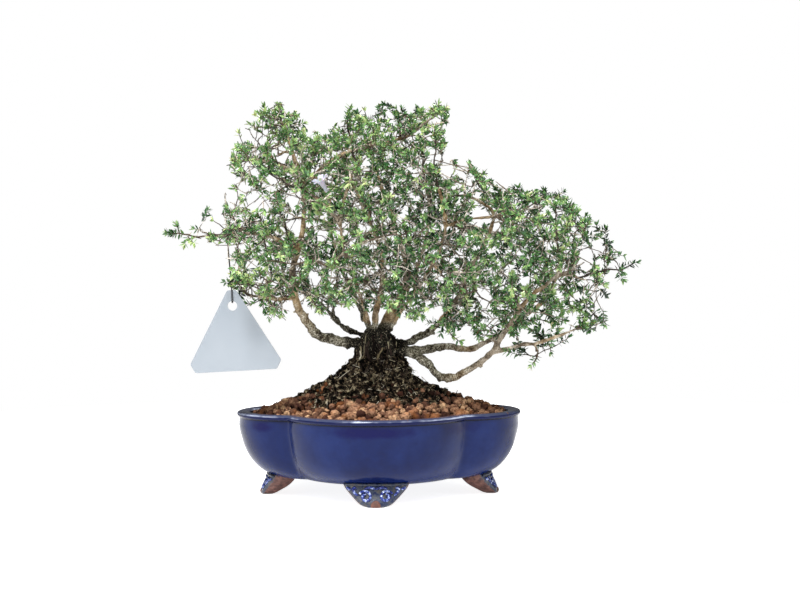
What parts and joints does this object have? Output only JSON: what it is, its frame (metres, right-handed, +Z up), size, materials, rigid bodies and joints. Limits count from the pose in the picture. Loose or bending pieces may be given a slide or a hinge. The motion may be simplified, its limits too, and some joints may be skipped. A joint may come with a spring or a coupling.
{
  "type": "potted bonsai tree",
  "caption": "Small-leaved bonsai tree with a spreading crown, low limbs and a pale flower, in a lobed glazed pot on bracket feet, with a blank triangular label on a wire.",
  "frame": {"origin": "middle of the object's outline seen from above, on the ground that the pot's feet stand on", "axes": "+Z up, +X along the pot's length towards the low right-hand limb, -Y towards the front that the label hangs on"},
  "size_m": [0.344, 0.1806, 0.29],
  "materials": {
    "glaze": "gloss",
    "plastic": "matte",
    "soil": "matte",
    "mound": "matte",
    "bark": "matte",
    "leaf": "satin",
    "petal": "satin",
    "label": "satin",
    "wire": "satin"
  },
  "bodies": {
    "root": {"pot": "glaze", "drain_mesh_left": "plastic", "drain_mesh_right": "plastic", "soil": "soil", "mound": "mound", "tree": "bark", "spray_01": "leaf", "spray_02": "leaf", "spray_03": "leaf", "spray_04": "leaf", "spray_05": "leaf", "spray_06": "leaf", "spray_07": "leaf", "spray_08": "leaf", "spray_09": "leaf", "spray_10": "leaf", "spray_11": "leaf", "spray_12": "leaf", "spray_13": "leaf", "spray_14": "leaf", "spray_15": "leaf", "spray_16": "leaf", "spray_17": "leaf", "spray_18": "leaf", "spray_19": "leaf", "spray_20": "leaf", "spray_21": "leaf", "spray_22": "leaf", "spray_23": "leaf", "spray_24": "leaf", "spray_25": "leaf", "spray_26": "leaf", "spray_27": "leaf", "spray_28": "leaf", "spray_29": "leaf", "spray_30": "leaf", "spray_31": "leaf", "spray_32": "leaf", "spray_33": "leaf", "spray_34": "leaf", "spray_35": "leaf", "spray_36": "leaf", "spray_37": "leaf", "spray_38": "leaf", "spray_39": "leaf", "spray_40": "leaf", "calyx": "leaf", "flower": "petal", "label": "label", "label_wire": "wire"}
  },
  "joints": []
}
